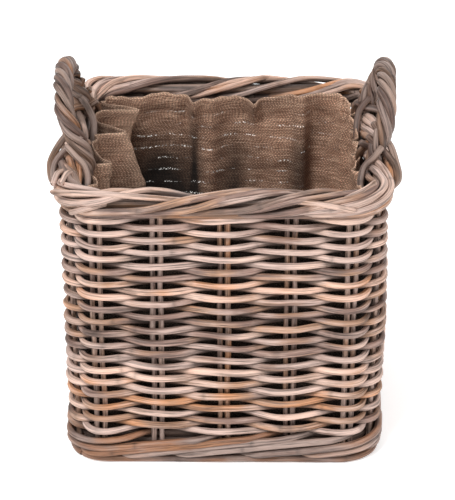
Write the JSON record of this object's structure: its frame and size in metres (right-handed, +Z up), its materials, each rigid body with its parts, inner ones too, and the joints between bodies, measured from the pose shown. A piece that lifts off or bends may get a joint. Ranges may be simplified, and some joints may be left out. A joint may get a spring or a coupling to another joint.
{
  "type": "wicker log basket",
  "caption": "Square woven cane log basket with a rope-laid border, roped side handles and a loose hessian liner.",
  "frame": {"origin": "on the surface the basket stands on, under the middle of the basket", "axes": "+Z up through the open top, +X to the right handle, the front wall faces -Y"},
  "size_m": [0.4142, 0.3986, 0.4482],
  "materials": {
    "weaver_cane": "matt weathered cane",
    "stake_cane": "matt weathered cane",
    "border_cane": "matt weathered cane",
    "handle_cane": "matt weathered cane",
    "liner_hessian": "coarse open jute weave"
  },
  "bodies": {
    "root": {"base_sticks": "stake_cane", "base_weavers": "weaver_cane", "border_core": "border_cane", "border_rods": "border_cane", "foot_wale_rod_1": "border_cane", "foot_wale_rod_2": "border_cane", "foot_wale_rod_3": "border_cane", "foot_wale_rod_4": "border_cane", "hessian_liner": "liner_hessian", "left_handle_bow": "handle_cane", "left_handle_lashings": "handle_cane", "left_handle_strands": "handle_cane", "right_handle_bow": "handle_cane", "right_handle_lashings": "handle_cane", "right_handle_strands": "handle_cane", "stakes_back": "stake_cane", "stakes_front": "stake_cane", "stakes_left": "stake_cane", "stakes_right": "stake_cane", "weave_course_01": "weaver_cane", "weave_course_02": "weaver_cane", "weave_course_03": "weaver_cane", "weave_course_04": "weaver_cane", "weave_course_05": "weaver_cane", "weave_course_06": "weaver_cane", "weave_course_07": "weaver_cane", "weave_course_08": "weaver_cane", "weave_course_09": "weaver_cane", "weave_course_10": "weaver_cane", "weave_course_11": "weaver_cane", "weave_course_12": "weaver_cane", "weave_course_13": "weaver_cane", "weave_course_14": "weaver_cane", "weave_course_15": "weaver_cane", "weave_course_16": "weaver_cane", "weave_course_17": "weaver_cane", "weave_course_18": "weaver_cane", "weave_course_19": "weaver_cane", "weave_course_20": "weaver_cane", "weave_course_21": "weaver_cane", "weave_course_22": "weaver_cane", "weave_course_23": "weaver_cane", "weave_course_24": "weaver_cane", "weave_course_25": "weaver_cane", "weave_course_26": "weaver_cane", "weave_course_27": "weaver_cane", "weave_course_28": "weaver_cane", "weave_course_29": "weaver_cane", "weave_course_30": "weaver_cane", "weave_course_31": "weaver_cane", "weave_course_32": "weaver_cane", "weave_course_33": "weaver_cane", "weave_course_34": "weaver_cane", "weave_course_35": "weaver_cane"}
  },
  "joints": []
}
